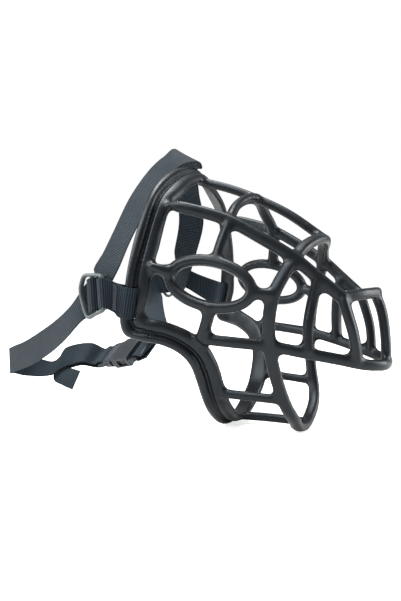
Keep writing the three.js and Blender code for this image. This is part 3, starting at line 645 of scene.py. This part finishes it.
# Upper side of the section, as shares of half the width and of half the thickness.
HALF_SECTION = [(-0.985, 0.72), (-0.95, 1.06), (-0.9, 1.08), (-0.84, 0.96), (-0.6, 1.0), (-0.3, 1.0),
                (0.0, 1.0), (0.3, 1.0), (0.6, 1.0), (0.84, 0.96), (0.9, 1.08), (0.95, 1.06),
                (0.985, 0.72)]
SECTION = HALF_SECTION + [(x, -y) for x, y in reversed(HALF_SECTION)]


def webbing(name, stations, start, end, closed=False, phase=0.0):
    """A strip of ribbed webbing through [centre, across] stations, from station `start` to `end`."""
    middle = Spline([c for c, _ in stations], closed)
    width = Spline([a for _, a in stations], closed)
    last = len(stations) if closed else len(stations) - 1
    ts, length = middle.evenly(RIB / RIB_ROWS, start / last, end / last)
    step = length / (len(ts) - 1)
    if closed:
        ts = ts[:-1]
        rib = length / round(length / RIB)
    else:
        rib = RIB
    rings, uvs = [], []
    for k, t in enumerate(ts):
        centre, across, along = middle.at(t), width.at(t), middle.tangent(t)
        normal = along.cross(across).normalized()
        run = phase + k * step
        thick = PLY / 2 * (1 - RIB_SWELL + RIB_SWELL * math.cos(2 * math.pi * run / rib))
        rings.append([centre + across * (x / 2) + normal * (thick * y) for x, y in SECTION])
        uvs.append([((x + 1) / 2, run / rib * RIB / WEB) for x, y in SECTION])
    verts, faces = loft_data(rings, closed)
    piece = new_object(name, verts, faces)
    layer = piece.data.uv_layers.new(name="weave")
    count = len(SECTION)
    flat = [uv for row in uvs for uv in row]
    wrap = length / rib * RIB / WEB
    for polygon in piece.data.polygons:
        rows = {piece.data.loops[i].vertex_index // count for i in polygon.loop_indices}
        wraps = closed and len(ts) - 1 in rows and 0 in rows
        for i in polygon.loop_indices:
            index = piece.data.loops[i].vertex_index
            u, w = flat[index]
            if wraps and index // count == 0:
                w += wrap
            layer.data[i].uv = (u, w)
    face_out(piece)
    smooth_shade(piece, CREASE)
    return piece, length


def slider_frame(centre, up, out):
    u = up.normalized()
    o = (out - u * out.dot(u)).normalized()
    f = u.cross(o).normalized()
    if f.x < 0:
        f = -f
    return {"centre": centre, "up": u, "out": o, "front": f}


NEAR = slider_frame(V(-113, -79.5, 94.5), V(-0.14, 0.12, 0.98), V(-0.2, -0.97, 0.12))
FAR = slider_frame(V(-134, 56, 104), V(-0.2, -0.15, 0.97), V(-0.35, 0.93, 0.1))
BAR_AT = (SLIDER_WIDE - SLIDER_BAR) / 2


def on_slider(s, front, up, out):
    return s["centre"] + s["front"] * front + s["up"] * up + s["out"] * out


def side_strap_stations(side, s):
    """A sewn loop round the rim's bead and the slider's front bar, and where its seam is."""
    slot = slot_frame(side)
    in_slot = slot["length"] * SLOT_AT - BEAD
    turn = BEAD + GAP + PLY / 2 + 0.5
    corner = math.hypot(SLIDER_BAR, SLIDER_THICK) / 2 + GAP + PLY / 2
    at_bead, at_bar = slot["up"] * WEB, s["up"] * (WEB - 0.8)

    def bead(across, out):
        return [slot["bead"] + slot["across"] * across + slot["out"] * out, at_bead]

    def front_bar(front, out):
        return [on_slider(s, BAR_AT + front * corner, 0, out * corner), at_bar]

    sewn_up = at_bead.lerp(at_bar, 0.5)
    run = slot["bead"] - on_slider(s, BAR_AT, 0, 0)
    sewn_at = on_slider(s, BAR_AT, 0, 0) + run * 0.48
    sewn_out = sewn_up.cross(run).normalized()
    if sewn_out.dot(slot["out"]) < 0:
        sewn_out = -sewn_out
    apart = PLY / 2 + GAP / 2 + 0.15

    def sewn(out):
        return [sewn_at + sewn_out * (out * apart), sewn_up]

    stations = [
        sewn(1), bead(1.4 - turn, turn - 1), bead(0, turn + 0.3), bead(in_slot - 1.4, turn - 1.2),
        bead(in_slot, 0), bead(in_slot - 0.2, 1 - turn), bead(in_slot - 1.6, -turn - 0.6),
        bead(0.6, -turn - 1), bead(0.6 - turn, 0.6 - turn), sewn(-1),
        front_bar(0.8, -1.05), front_bar(-0.2, -1.1), front_bar(-0.95, -0.6), front_bar(-0.95, 0.6),
        front_bar(-0.2, 1.1), front_bar(0.8, 1.05),
    ]
    return stations, sewn(1)[0], sewn_up, sewn_out


BUCKLE_ORIGIN = V(-186, 30, 37.5)
BUCKLE_ALONG = V(0.942, -0.275, 0.191).normalized()
BUCKLE_ACROSS = V(0.11, 0.786, 0.607)
BUCKLE_ACROSS = (BUCKLE_ACROSS - BUCKLE_ALONG * BUCKLE_ACROSS.dot(BUCKLE_ALONG)).normalized()
BUCKLE_FACE = BUCKLE_ALONG.cross(BUCKLE_ACROSS).normalized()
BUCKLE_BASIS = basis_of(BUCKLE_ALONG, BUCKLE_ACROSS, BUCKLE_FACE, BUCKLE_ORIGIN)
SOCKET_FROM = PLUG_LENGTH + GAP
SOCKET_TO = SOCKET_FROM + SOCKET_LENGTH
SOCKET_END = SOCKET_TO + BUCKLE_SLOT + BUCKLE_BAR


def on_buckle(along, across, face):
    return BUCKLE_BASIS @ V(along, across, face)


# (place from the rear bar, -1, to the front bar, 1; height off the slider's middle in mm)
SLIDER_PATH = [(1, -4.8), (0.6, -2.7), (0.35, 0.2), (0.2, 2.2), (0, 2.7), (-0.2, 2.2), (-0.38, 0),
               (-0.62, -2.2), (-1, -2.9)]


def through_slider(s, lift):
    across = s["up"] * (WEB + 2)
    return [[on_slider(s, BAR_AT * front, lift * front, out), across] for front, out in SLIDER_PATH]


def round_bar(along, opens):
    """The half turn that the webbing makes round one of the buckle's bars."""
    turn = math.hypot(BUCKLE_BAR, BUCKLE_THIN) / 2 + GAP + PLY / 2 + 0.1
    width = BUCKLE_ACROSS * WEB
    stations = []
    for k in (-0.8, -0.4, 0, 0.4, 0.8):
        angle = k * math.pi / 1.6
        centre = on_buckle(along - opens * turn * math.cos(angle), 0, turn * math.sin(angle))
        stations.append([centre, width])
    return stations


def flip(stations):
    return [[c, -a] for c, a in stations]


def strap_run():
    """The neck strap's stations up to the near slider, from there to the plug, and past it."""
    bar_at = SOCKET_END - BUCKLE_BAR / 2
    on_bar = V(2.2, 15.7, 12.1)
    sewn = [[on_buckle(SOCKET_END + 10, 0, -1.2), on_bar], [on_buckle(SOCKET_END + 4, 0, -2.2), on_bar]]
    far_leg = [
        [on_buckle(SOCKET_END + 4, 0, 1.4), on_bar],
        [on_buckle(SOCKET_END + 9, 0, 1.6), V(4, 15.5, 12)],
        [V(-124.5, 16, 58), V(11, 14, 9)],
        [V(-130, 24, 65.5), V(16, 12, 3)],
        [V(-138, 34, 74), V(17, 10, 2)],
        [V(-144, 43, 84), V(16, 7, 8)],
    ]
    top = [
        [V(-112, 45, 127), V(16, 9, -4)], [V(-100.6, 35.2, 151), V(18.2, 8.6, -3)],
        [V(-96.3, 21.8, 176), V(17.5, 5, -7.5)], [V(-91, 11, 191), V(17, 3, -8)],
        [V(-86, 6, 194), V(20, 3, -15)], [V(-85.8, 0, 195.4), V(21.5, 2, -12)],
        [V(-91.6, -10, 190.2), V(16, -1, -8)], [V(-96.7, -23, 177.8), V(17, -3, -9.6)],
        [V(-101.9, -39.4, 158.2), V(18.2, -4.4, -8.2)],
        [V(-104.7, -57, 134.2), V(18.3, -7, -7.4)], [V(-107.4, -66, 118.2), V(16.8, -6, -10)],
        [V(-111.5, -73, 103), V(13.6, -4, -15)],
    ]
    lower = [
        [V(-133, -75, 80.8), V(12, -6.8, -11.4)], [V(-156, -64, 68.9), V(12.2, -7.2, -14.5)],
        [V(-183, -51, 57.9), V(9, -5, -18)], [V(-213, -37, 47.7), V(5, -3, -20)],
        [V(-242, -23.5, 40), V(1.5, -1, -21.5)],
        [V(-250.5, -18.5, 37.3), V(0, 0, -22)], [V(-250.2, -15.2, 36.6), V(0, 0, -21)],
        [V(-241, -10.5, 33), V(-1, -4, -17.5)], [V(-233.5, -4.5, 30.5), V(-1, -12, -13)],
        [V(-227.4, 0.6, 29.0), V(0, -15, -11)], [V(-222.8, 6.8, 30.8), V(3, -13, -13.5)],
        [V(-220, 13.6, 36.8), V(3.4, -11, -17)], [V(-212, 20.5, 40), V(1, -12, -17)],
        [V(-202, 25, 41.2), V(-1.5, -14.5, -15)],
    ]
    end = [[on_buckle(-8, 0, 1.6), on_bar]] + list(reversed(round_bar(BUCKLE_BAR / 2, -1))) + [
        [on_buckle(-9, 0, -2.1), on_bar], [V(-204, 27.8, 37.6), V(1.5, 14, 15)],
        [V(-213.5, 23.6, 36.4), V(-1, 12, 16)], [V(-221.5, 18.3, 33.2), V(-3, 13, 15)],
        [V(-227.5, 14, 29), V(-5, 14, 12)], [V(-223.5, 9.5, 25), V(-5, 14.5, 12.5)],
        [V(-213, 7.6, 22.4), V(-3.5, 14, 13)], [V(-202.4, 9.3, 19), V(-1.8, 13.7, 13.9)],
    ]
    before = (sewn + round_bar(bar_at, 1) + far_leg + flip(list(reversed(through_slider(FAR, -1.5))))
              + top + flip(through_slider(NEAR, 1.5)))
    return before, lower, flip(end)


def straps():
    before, lower, end = strap_run()
    stations = before + lower + end
    leaves = len(before) + 0.35      # where the CAD splits the strap
    folds = len(before) + 4.0        # where the fold begins
    upper_part, run = webbing("neck_strap_upper", stations, 0, leaves)
    finish_piece(upper_part, "muzzle", WEBBING, ["neck_strap"])
    lower_part, run_2 = webbing("neck_strap_lower", stations, leaves, folds, phase=run)
    lower_part.data.materials.append(WEBBING)
    middle = Spline([c for c, _ in stations])
    tuple(middle.at(leaves / (len(stations) - 1)) * MM)
    tuple(middle.at(folds / (len(stations) - 1)) * MM)
    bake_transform(lower_part)
    end_part, _ = webbing("neck_strap_end_run", stations, folds, len(stations) - 1, phase=run + run_2)
    finish_piece(end_part, "plug", WEBBING, ["neck_strap_end"])


# ---------- stitching ----------


def thread(path, radius):
    spline = Spline(path)
    ts, _ = spline.evenly(0.35)
    rings = []
    side = None
    for t in ts:
        tangent = spline.tangent(t)
        if side is None:
            side = tangent.orthogonal()
        side = (side - tangent * side.dot(tangent)).normalized()
        other = tangent.cross(side)
        rings.append([spline.at(t) + (side * math.cos(a) + other * math.sin(a)) * radius
                      for a in (math.pi / 3 * k for k in range(6))])
    piece = new_object("thread", *loft_data(rings))
    face_out(piece)
    return piece


def bartack(name, node, centre, across, out):
    """A dense zigzag over two straight rows, as a bartack machine sews."""
    width = across.normalized()
    along = width.cross(out).normalized()
    face = along.cross(width).normalized()
    if face.dot(out) < 0:
        face = -face
    lift = PLY / 2 + 0.12
    half, long, count = 8.0, 1.2, 34
    pieces = []
    for row in (-0.5, 0.5):
        pieces.append(thread([centre + along * (row * long) + width * w + face * lift
                              for w in (-half, -half / 2, 0, half / 2, half)], 0.2))
    zigzag = []
    for k in range(count + 1):
        w = -half + 2 * half * k / count
        zigzag.append(centre + along * (long if k % 2 else -long) + width * w + face * (lift + 0.16))
    pieces.append(thread(zigzag, 0.17))
    piece = join(pieces, name)
    smooth_shade(piece)
    return finish_piece(piece, "muzzle", THREAD, [node])


def side_straps():
    for name, side, s in (("near", -1, NEAR), ("far", 1, FAR)):
        stations, centre, across, out = side_strap_stations(side, s)
        piece, _ = webbing("side_strap_loop_" + name, stations, 0, len(stations), closed=True)
        finish_piece(piece, "muzzle", WEBBING, ["side_strap_" + name])
        bartack("bartack_thread_" + name, "bartack_" + name, centre, across, out)
    seam = on_buckle(SOCKET_END + 6, 0, 1.5)
    bartack("bartack_thread_socket", "bartack_socket", seam, BUCKLE_ACROSS, BUCKLE_FACE)


# ---------- sliders ----------


def slider(name, s, node):
    """A three-bar slider with rounded bars; the rear one bows away from the middle."""
    basis = basis_of(s["front"], s["up"], s["front"].cross(s["up"]), s["centre"])
    a, b = BAR_AT, (SLIDER_LONG - SLIDER_BAR) / 2
    high, low = b - 2.6, b - 3.6
    loop = [V(a, 2.5 - low, 0), V(a, 0, 0), V(a, high - 2.5, 0), V(a - 0.7, high - 0.6, 0),
            V(a - 2.8, high + 0.3, 0), V(0, b - 1, 0), V(2.5 - a, b - 0.4, 0), V(-a - 0.3, b - 4, 0),
            V(-a - 1.8, b * 0.42, 0), V(-a - 1.4, 0, 0), V(0.2 - a, -b * 0.4, 0), V(2.0 - a, 3.6 - b, 0),
            V(3.8 - a, 1.0 - b, 0), V(0, 2.2 - b, 0), V(a - 2.8, -low - 0.3, 0), V(a - 0.7, 0.6 - low, 0)]
    loop = [basis @ p for p in loop]
    middle = [basis @ V(0, y, 0) for y in (2 - b, -b / 2, 0, b / 2, b - 1)]
    out = basis.to_3x3() @ V(0, 0, 1)
    pieces = [bar(loop, SLIDER_THICK + 0.3, SLIDER_BAR + 1.4, True, lean=out),
              bar(middle, SLIDER_THICK + 0.1, SLIDER_BAR, lean=out, flare=(1.25, 1.25))]
    piece = moulded(pieces, name, SMALL_VOXEL, 3, SLIDER_FILLET)
    return finish_piece(piece, "muzzle", SLIDER_PLASTIC, [node])


# ---------- buckle ----------

WALL = 1.8             # of the socket, round its cavity
SIDE_ROOM = 0.8        # the slots are this much longer at each end than the webbing is wide
CROWN_LEVELS = 6
CROWN_DRAW = 0.55      # share of a crown's size that its rim is drawn in by
CAVITY_HALF = BUCKLE_WIDE / 2 - 1.5
CAVITY_THICK = BUCKLE_THICK - 2 * WALL
PRONG_ROOT = PLUG_LENGTH - 1.5
PRONG_AT = 8.2         # from the buckle's middle line to a prong's
PRONG_THICK = CAVITY_THICK - 2 * GAP
WINDOW_FROM, WINDOW_TO = SOCKET_FROM + 7.5, SOCKET_FROM + 18

IN_CAVITY = (-CAVITY_THICK / 2, CAVITY_THICK / 2)
THROUGH_BUCKLE = (-BUCKLE_THICK, BUCKLE_THICK)
WEBBING_SLOT = (-WEB / 2 - SIDE_ROOM, WEB / 2 + SIDE_ROOM)


def crowned(name, outline, thick, crown):
    """A plate with a crowned top and bottom: rings of the outline, drawn in as they rise."""
    cx = sum(x for x, _ in outline) / len(outline)
    cy = sum(y for _, y in outline) / len(outline)
    rings = []
    for k in range(2 * CROWN_LEVELS + 1):
        f = (k - CROWN_LEVELS) / CROWN_LEVELS
        z = thick / 2 * math.sin(f * math.pi / 2)
        draw = CROWN_DRAW * (1 - math.cos(f * math.pi / 2)) * crown
        ring = []
        for x, y in outline:
            dx, dy = x - cx, y - cy
            size = math.hypot(dx, dy) or 1.0
            ring.append(BUCKLE_BASIS @ V(x - dx / size * draw, y - dy / size * draw, z))
        rings.append(ring)
    piece = new_object(name, *loft_data(rings))
    face_out(piece)
    return piece


def buckle_box(along, across, face):
    """A box in the buckle's own directions, with its low and high end in each."""
    return box(along, across, face, BUCKLE_BASIS)


def round_rod(x, half, radius, z):
    ends = (-half, -half / 2, 0, half / 2, half)
    return bar([on_buckle(x, y, z) for y in ends], 2 * radius, 2 * radius)


def socket():
    half = BUCKLE_WIDE / 2
    top = BUCKLE_THICK / 2
    outline = [
        (SOCKET_FROM, -half + 1.2), (SOCKET_FROM + 1.5, -half), (SOCKET_FROM + 11, -half),
        (SOCKET_TO, -half), (SOCKET_END - 2, -half + 1), (SOCKET_END, -half + 3), (SOCKET_END, 0),
        (SOCKET_END, half - 3), (SOCKET_END - 2, half - 1), (SOCKET_TO, half),
        (SOCKET_FROM + 11, half), (SOCKET_FROM + 1.5, half), (SOCKET_FROM, half - 1.2),
        (SOCKET_FROM, 0),
    ]
    shell = crowned("shell", outline, BUCKLE_THICK, 2.2)
    thinned = (BUCKLE_THICK - BUCKLE_THIN) / 2
    full_width = (-half - 1, half + 1)
    rear = (SOCKET_TO + 0.6, SOCKET_END + 1)
    cut(shell, [
        buckle_box((SOCKET_FROM - 1, SOCKET_TO - WALL), (-CAVITY_HALF, CAVITY_HALF), IN_CAVITY),
        buckle_box((WINDOW_FROM, WINDOW_TO), full_width, IN_CAVITY),
        buckle_box((SOCKET_TO, SOCKET_TO + BUCKLE_SLOT), WEBBING_SLOT, THROUGH_BUCKLE),
        buckle_box(rear, full_width, (top - thinned, BUCKLE_THICK)),
        buckle_box(rear, full_width, (-BUCKLE_THICK, thinned - top)),
    ])
    lip = [round_rod(SOCKET_FROM + 1.0, half - 3.5, 0.75, z) for z in (top - 0.35, 0.35 - top)]
    ridges = [round_rod(SOCKET_FROM + x, half - 6.5, 0.42, top - 0.1) for x in (5.5, 8.0, 10.5)]
    piece = moulded([shell] + lip + ridges, "buckle_socket_body", SMALL_VOXEL, 4)
    return finish_piece(piece, "muzzle", BUCKLE_PLASTIC, ["buckle_socket"])


def plug():
    half = BUCKLE_WIDE / 2 - 0.8
    bar_end = BUCKLE_BAR + BUCKLE_SLOT
    flat_outline = [
        (0, -half + 2), (1.5, -half), (12, -half + 0.6), (PLUG_LENGTH, -half + 1.2), (PLUG_LENGTH, 0),
        (PLUG_LENGTH, half - 1.2), (12, half - 0.6), (1.5, half), (0, half - 2), (0, 0),
    ]
    body_outline = [
        (bar_end + 0.4, -half + 1.6), (PLUG_LENGTH - 0.4, -half + 0.6), (PLUG_LENGTH, 0),
        (PLUG_LENGTH - 0.4, half - 0.6), (bar_end + 0.4, half - 1.6), (bar_end + 0.1, 0),
    ]
    inner_end = SOCKET_TO - WALL
    tongue_outline = [
        (PLUG_LENGTH - 2, -2.4), (inner_end - 2.5, -2.4), (inner_end - 1, -1), (inner_end - 1, 1),
        (inner_end - 2.5, 2.4), (PLUG_LENGTH - 2, 2.4),
    ]
    flat = crowned("plug", flat_outline, BUCKLE_THIN, 0.9)
    body = crowned("body", body_outline, BUCKLE_THICK - 1.6, 2.0)
    tongue = prism("tongue", tongue_outline, -PRONG_THICK / 2, PRONG_THICK / 2, BUCKLE_BASIS)
    whole = join([flat, body, tongue], "plug")
    modify(whole, "REMESH", mode="VOXEL", voxel_size=0.3 * MM)
    cutters = [buckle_box((BUCKLE_BAR, bar_end), WEBBING_SLOT, THROUGH_BUCKLE)]
    for side in (-1, 1):
        beside = (side * PRONG_AT - 4.3, side * PRONG_AT + 4.3)
        room = (-PRONG_THICK / 2 - GAP, PRONG_THICK / 2 + GAP)
        cutters.append(buckle_box((PRONG_ROOT - 2.2, PLUG_LENGTH + 1), beside, room))
    cut(whole, cutters)
    top = BUCKLE_THICK / 2 - 0.85
    ridges = [round_rod(bar_end + x, half - 3.4, 0.5, top) for x in (3.4, 6.0, 8.6)]
    piece = moulded([whole] + ridges, "buckle_plug_body", SMALL_VOXEL, 4)
    return finish_piece(piece, "plug", BUCKLE_PLASTIC, ["buckle_plug"])


def prong(name, side, body, node):
    """A springy arm with its catch in the socket's window, and three grips on the catch."""
    head_from, head_to = WINDOW_FROM + GAP, WINDOW_TO - GAP
    outer = CAVITY_HALF - GAP
    outline = [
        (PRONG_ROOT - 1.6, PRONG_AT - 1.6), (PRONG_ROOT - 1.6, PRONG_AT + 1.6),
        (head_from, PRONG_AT + 2.2), (head_from + 0.6, outer), (head_to - 4, outer),
        (head_to, PRONG_AT + 0.6), (head_to - 1.5, PRONG_AT - 1.2), (head_from, PRONG_AT - 0.6),
    ]
    outline = [(x, side * y) for x, y in outline]
    arm = prism("arm", outline, -PRONG_THICK / 2, PRONG_THICK / 2, BUCKLE_BASIS)
    grips = []
    for k in range(3):
        x = head_from + 1.6 + 1.3 * k
        heights = (-2.2, -1, 0, 1, 2.2)
        grips.append(bar([on_buckle(x, side * (outer - 0.25), z) for z in heights], 0.7, 0.7))
    piece = moulded([arm] + grips, name, PRONG_VOXEL, 3)
    return finish_piece(piece, body, BUCKLE_PLASTIC, [node])


# ---------- camera, floor and light ----------


def camera():
    azimuth, elevation, roll = math.radians(26.62), math.radians(2.0), math.radians(-1.21)
    level = math.cos(elevation)
    back = V(math.sin(azimuth) * level, -math.cos(azimuth) * level, math.sin(elevation))
    right = V(math.cos(azimuth), math.sin(azimuth), 0)
    up = back.cross(right)
    rolled_right = right * math.cos(roll) + up * math.sin(roll)
    rolled_up = up * math.cos(roll) - right * math.sin(roll)
    data = bpy.data.cameras.new("camera")
    data.sensor_fit = "VERTICAL"
    data.sensor_height = 36.0
    data.lens = 32.35
    data.clip_start = 0.01
    data.clip_end = 20.0
    view = bpy.data.objects.new("camera", data)
    view.matrix_world = basis_of(rolled_right, rolled_up, back, V(103.1, -357.4, 102.0) * MM)
    bpy.context.scene.collection.objects.link(view)
    bpy.context.scene.camera = view


def area_light(name, place, target, size, power):
    data = bpy.data.lights.new(name, "AREA")
    data.shape = "RECTANGLE"
    data.size, data.size_y = size
    data.energy = power
    lamp = bpy.data.objects.new(name, data)
    lamp.location = place
    lamp.rotation_euler = (V(*target) - V(*place)).to_track_quat("-Z", "Y").to_euler()
    bpy.context.scene.collection.objects.link(lamp)


def floor():
    """A pale floor that comes out white to the camera and lights the part only as a pale floor would."""
    half = 6.0
    corners = [V(-half, -half, 0), V(half, -half, 0), V(half, half, 0), V(-half, half, 0)]
    sheet = new_object("floor", corners, [(0, 1, 2, 3)], 1.0)
    n = Nodes("floor")
    n.shader.inputs["Base Color"].default_value = (0.8, 0.79, 0.78, 1)
    n.shader.inputs["Roughness"].default_value = 0.9
    n.shader.inputs["Emission Color"].default_value = (1, 1, 1, 1)
    to_camera = n.add("ShaderNodeLightPath").outputs["Is Camera Ray"]
    n.link(n.maths("MULTIPLY", to_camera, 0.7), n.shader.inputs["Emission Strength"])
    sheet.data.materials.append(n.material)


def surroundings():
    """Soft cool light from all round, with plain white behind the part."""
    world = bpy.data.worlds.new("world")
    world.use_nodes = True
    tree = world.node_tree
    around = tree.nodes["Background"]
    around.inputs["Color"].default_value = (0.94, 0.97, 1, 1)
    around.inputs["Strength"].default_value = 0.42
    behind = tree.nodes.new("ShaderNodeBackground")
    behind.inputs["Color"].default_value = (1, 1, 1, 1)
    path = tree.nodes.new("ShaderNodeLightPath")
    mix = tree.nodes.new("ShaderNodeMixShader")
    tree.links.new(path.outputs["Is Camera Ray"], mix.inputs["Fac"])
    tree.links.new(around.outputs["Background"], mix.inputs[1])
    tree.links.new(behind.outputs["Background"], mix.inputs[2])
    tree.links.new(mix.outputs["Shader"], tree.nodes["World Output"].inputs["Surface"])
    bpy.context.scene.world = world
    bpy.context.scene.view_settings.view_transform = "Standard"


def lamps():
    area_light("key", (-0.5, -0.9, 1.1), (-0.05, 0, 0.1), (0.7, 0.7), 14)
    area_light("side", (-1.0, -0.5, 0.55), (-0.05, 0, 0.12), (0.6, 0.8), 12)
    area_light("nose", (1.0, 0.55, 0.35), (0.03, 0, 0.08), (0.6, 0.8), 14)
    area_light("top", (-0.15, 0.0, 1.2), (-0.05, 0, 0.1), (0.6, 0.6), 20)


camera()
floor()
surroundings()
lamps()
basket()
straps()
side_straps()
slider("slider_frame_near", NEAR, "slider_near")
slider("slider_frame_far", FAR, "slider_far")
socket()
plug()
prong("prong_arm_upper", 1, "prong_upper", "buckle_prong_upper")
prong("prong_arm_lower", -1, "prong_lower", "buckle_prong_lower")
